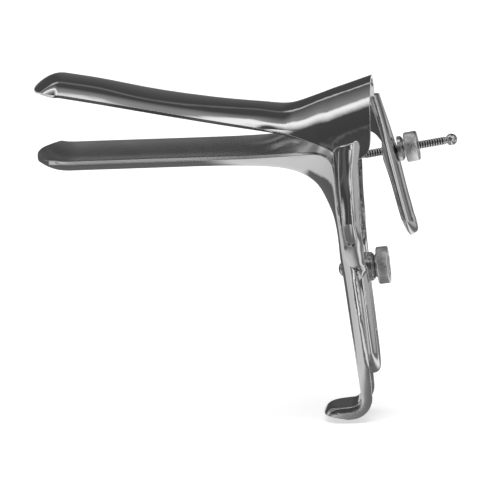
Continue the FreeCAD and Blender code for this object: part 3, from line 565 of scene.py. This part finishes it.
# Studio: grey levels of the walls and panels round the object, by a direction's degrees up from the front.
# To the left the bright panel and all above it stand higher. The tube is a thin light high up behind.
SKY = [
    (-180, 0.16), (-90, 0.42), (-20, 0.30), (-10, 0.06), (40, 0.07), (54, 0.9), (62, 1.2), (68, 1.1), (72, 0.34),
    (88, 0.22), (106, 0.12), (120, 0.07), (150, 0.07), (180, 0.14)]
HIGHER = 30.0
HIGHER_X = (-0.22, -0.02)
HIGHER_FROM = (0.0, 40.0)
TUBE = [(140, 0.0), (142.5, 1.0), (144, 1.0), (146, 0.0)]
TUBE_GREY = 0.7
TUBE_X = (-0.14, -0.02)
TUBE_DIMMER = 0.82
WALLS_Z = (0.12, 0.45)
LEFT_WALL = 0.62
LEFT_WALL_X = (-0.85, -0.60)
RIGHT_WALL = 0.30
RIGHT_WALL_X = (0.60, 0.85)
# Level with the object, in front: grey levels by a direction's x.
FRONT = [
    (-0.60, 0.38), (-0.40, 0.26), (-0.33, 0.07), (-0.24, 0.08), (-0.19, 0.15), (-0.13, 0.07), (-0.05, 0.07),
    (0.00, 0.13), (0.06, 0.06), (0.13, 0.06), (0.18, 1.1), (0.28, 1.1), (0.34, 0.10), (0.70, 0.28)]
FRONT_Z = (0.1, 0.3)
# A pale panel to the right, in front and a little behind, for the rims that face it.
RIM = 0.75
RIM_X = (0.38, 0.45, 0.65, 0.75)
RIM_Y = 0.3

world = bpy.data.worlds.new("studio")
scene.world = world
world.use_nodes = True
add = graph(world.node_tree)
x, y, z = parts_of(add, add("ShaderNodeTexCoord").outputs["Generated"])
climb = maths(add, "DEGREES", maths(add, "ARCTAN2", z, product(add, y, -1.0)))
leftward = one_less(add, fade(add, x, *HIGHER_X))
higher = product(add, leftward, fade(add, climb, *HIGHER_FROM), HIGHER)
sky = greys(add, maths(add, "SUBTRACT", climb, higher), -180, 180, SKY)
not_dimmed = one_less(add, product(add, fade(add, x, *TUBE_X), TUBE_DIMMER))
sky = blended(add, product(add, greys(add, climb, -180, 180, TUBE), not_dimmed), sky, TUBE_GREY)
raised = fade(add, z, *WALLS_Z)
sky = blended(add, product(add, one_less(add, fade(add, x, *LEFT_WALL_X)), raised), sky, LEFT_WALL)
sky = blended(add, product(add, fade(add, x, *RIGHT_WALL_X), raised), sky, RIGHT_WALL)
level = product(add, one_less(add, fade(add, z, *FRONT_Z)), maths(add, "LESS_THAN", y, 0.0))
sky = blended(add, level, sky, greys(add, x, -1.0, 1.0, FRONT))
rim = maths(add, "SUBTRACT", fade(add, x, *RIM_X[:2]), fade(add, x, *RIM_X[2:]))
sky = blended(add, product(add, rim, maths(add, "LESS_THAN", y, RIM_Y)), sky, RIM)
walls = add("ShaderNodeBackground", Color=sky, Strength=1.0)
white = add("ShaderNodeBackground", Color=(1.0, 1.0, 1.0, 1.0), Strength=1.0)
add("ShaderNodeOutputWorld", Surface=by_camera(add, walls, white))

# One wide soft lamp above, which the steel doesn't mirror.
LAMP_AT = Vector((-0.1, -0.3, 1.4))
LAMP_AIM = Vector((-0.05, 0.1, 0.0))
LAMP_SIDE = 1.2
LAMP_POWER = 14.0
light = bpy.data.lights.new("top_light", "AREA")
light.shape = "RECTANGLE"
light.size = LAMP_SIDE
light.size_y = LAMP_SIDE
light.energy = LAMP_POWER
lamp_object = bpy.data.objects.new("top_light", light)
lamp_object.location = LAMP_AT
lamp_object.rotation_euler = (LAMP_AIM - LAMP_AT).to_track_quat("-Z", "Y").to_euler()
lamp_object.visible_glossy = False
scene.collection.objects.link(lamp_object)

# Camera at the photograph's angle, far enough off to be almost free of perspective.
turn = math.radians(VIEW_TURN)
drop = math.radians(VIEW_DROP)
roll = math.radians(VIEW_ROLL)
flat_right = Vector((math.cos(turn), math.sin(turn), 0.0))
flat_up = Vector((-math.sin(turn) * math.sin(drop), math.cos(turn) * math.sin(drop), math.cos(drop)))
towards = flat_right.cross(flat_up)
right = flat_right * math.cos(roll) - flat_up * math.sin(roll)
up = flat_right * math.sin(roll) + flat_up * math.cos(roll)
middle = Vector(NEAR_EAR) - right * EAR_IN_PICTURE[0] - up * EAR_IN_PICTURE[1] - towards * PICTURE_BEHIND_EAR
camera_data = bpy.data.cameras.new("camera")
camera_data.sensor_width = SENSOR
camera_data.lens = SENSOR * VIEW_DISTANCE / PICTURE_WIDTH
camera = bpy.data.objects.new("camera", camera_data)
pose = Matrix((right, up, towards)).transposed().to_4x4()
pose.translation = middle + towards * VIEW_DISTANCE
camera.matrix_world = pose
scene.collection.objects.link(camera)
scene.camera = camera
scene.view_settings.view_transform = "Standard"
